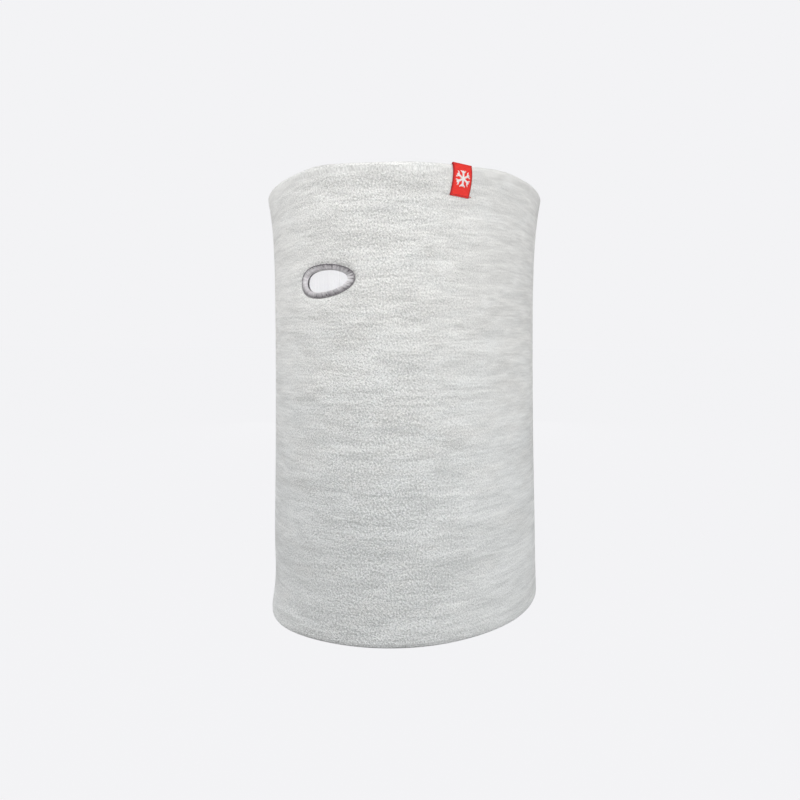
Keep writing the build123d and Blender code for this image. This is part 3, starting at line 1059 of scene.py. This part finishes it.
def care_point(across, path, lift):
    """A point of the flap: up it, out from its sewn edge and proud of it. It curls at its free end."""
    across, path, lift = np.broadcast_arrays(across, path, lift)
    share = path / CARE_WIDTH
    ahead = np.array(care_tip - care_seam)
    ahead /= np.linalg.norm(ahead)
    inward = np.array([ahead[1], -ahead[0], 0.0])
    curl = MM * (1.1 * share * share - 0.5 * np.sin(math.pi * share) * np.sin(3.1 * across / CARE_HEIGHT + 0.7))
    level = (care_low.z + care_high.z) / 2 + across
    base = np.array(care_seam) + path[..., None] * ahead + (curl + lift)[..., None] * inward
    base[..., 2] = level
    return base


flap = Maker()
ribbon_sheet(flap, care_point, CARE_HEIGHT, CARE_WIDTH, 0.3 * MM, 33, 25)
care_label = flap.finish("care_label", "care_flap", "care_satin", CARE_SATIN, ["care_label"])

# ---- The camera ----

CAMERA_BEARING = math.radians(29.1)
CAMERA_DISTANCE = 440.9 * MM
CAMERA_HEIGHT = 157.25 * MM
CAMERA_ASIDE = 4.93 * MM
CAMERA_PITCH = math.radians(4.784)
CAMERA_LENS = 32.0  # millimetres, on a sensor 36 mm wide

camera_data = bpy.data.cameras.new("camera")
camera_data.lens = CAMERA_LENS
camera_data.sensor_width = 36.0
camera = bpy.data.objects.new("camera", camera_data)
bpy.context.scene.collection.objects.link(camera)
towards = Vector((math.sin(CAMERA_BEARING), -math.cos(CAMERA_BEARING), 0))
rightwards = Vector((math.cos(CAMERA_BEARING), math.sin(CAMERA_BEARING), 0))
camera.location = towards * CAMERA_DISTANCE - rightwards * CAMERA_ASIDE + Vector((0, 0, CAMERA_HEIGHT))
camera.rotation_euler = (math.pi / 2 - CAMERA_PITCH, 0, CAMERA_BEARING)
bpy.context.scene.camera = camera

# ---- Floor, world and lights ----

BACKGROUND = (0.896, 0.896, 0.913)
SKY = (0.08, 0.08, 0.08)
UNDERSIDE = (0.13, 0.13, 0.13)
FLOOR_GLOW = (0.890, 0.890, 0.907)
bpy.context.scene.view_settings.view_transform = "Standard"


def make_world():
    """An even pale backdrop, darker overhead and below the floor."""
    world = bpy.data.worlds.new("studio")
    bpy.context.scene.world = world
    world.use_nodes = True
    nodes = world.node_tree.nodes
    links = world.node_tree.links
    place = nodes.new("ShaderNodeTexCoord")
    split = nodes.new("ShaderNodeSeparateXYZ")
    links.new(place.outputs["Generated"], split.inputs[0])
    lift = nodes.new("ShaderNodeMapRange")
    lift.inputs["From Min"].default_value = -1.0
    links.new(split.outputs[2], lift.inputs["Value"])
    ramp = nodes.new("ShaderNodeValToRGB")
    links.new(lift.outputs[0], ramp.inputs[0])
    low_end, high_end = ramp.color_ramp.elements
    low_end.position = 0.44
    low_end.color = (*UNDERSIDE, 1)
    high_end.position = 0.90
    high_end.color = (*SKY, 1)
    for position in (0.49, 0.74):
        ramp.color_ramp.elements.new(position).color = (*BACKGROUND, 1)
    links.new(ramp.outputs["Color"], nodes["Background"].inputs["Color"])


def make_floor():
    """A plain pale floor that runs to the horizon."""
    reach = 12.0
    corners = [(-reach, -reach, 0), (reach, -reach, 0), (reach, reach, 0), (-reach, reach, 0)]
    mesh = bpy.data.meshes.new("floor")
    mesh.from_pydata(corners, [], [(0, 1, 2, 3)])
    floor = bpy.data.objects.new("floor", mesh)
    bpy.context.scene.collection.objects.link(floor)
    paint = bpy.data.materials.new("floor")
    paint.use_nodes = True
    surface = paint.node_tree.nodes["Principled BSDF"]
    surface.inputs["Base Color"].default_value = (0.01, 0.01, 0.01, 1)
    surface.inputs["Roughness"].default_value = 1.0
    surface.inputs["Specular IOR Level"].default_value = 0.0
    surface.inputs["Emission Color"].default_value = (*FLOOR_GLOW, 1)
    surface.inputs["Emission Strength"].default_value = 1.0
    mesh.materials.append(paint)
    floor.visible_diffuse = False


def make_light(name, place, aim, size, power):
    """A square softbox."""
    data = bpy.data.lights.new(name, "AREA")
    data.size = size
    data.energy = power
    light = bpy.data.objects.new(name, data)
    light.location = place
    light.rotation_mode = "QUATERNION"
    light.rotation_quaternion = (Vector(place) - Vector(aim)).to_track_quat("Z", "Y")
    light.visible_camera = False
    bpy.context.scene.collection.objects.link(light)


def make_bulb(name, place, radius, power):
    """A small round lamp that shines every way, hidden from the camera."""
    data = bpy.data.lights.new(name, "POINT")
    data.shadow_soft_size = radius
    data.energy = power
    light = bpy.data.objects.new(name, data)
    light.location = place
    light.visible_camera = False
    bpy.context.scene.collection.objects.link(light)


make_world()
make_floor()
make_light("near_left", (-0.17, -0.38, 0.37), (0, 0, 0.18), 0.25, 0.45)
make_light("near_front", (0.20, -0.37, 0.38), (0, 0, 0.18), 0.25, 0.72)
make_light("low_left", (-0.75, -0.25, 0.08), (0, 0, 0.05), 0.50, 0.85)
make_light("right", (0.90, -0.08, 0.06), (0, 0, 0.06), 0.60, 3.3)
make_light("back", (-0.45, 0.80, 0.14), (0, 0, 0.12), 0.60, 4.5)
make_bulb("inside", (0, 0, 0.12), 0.03, 0.122)
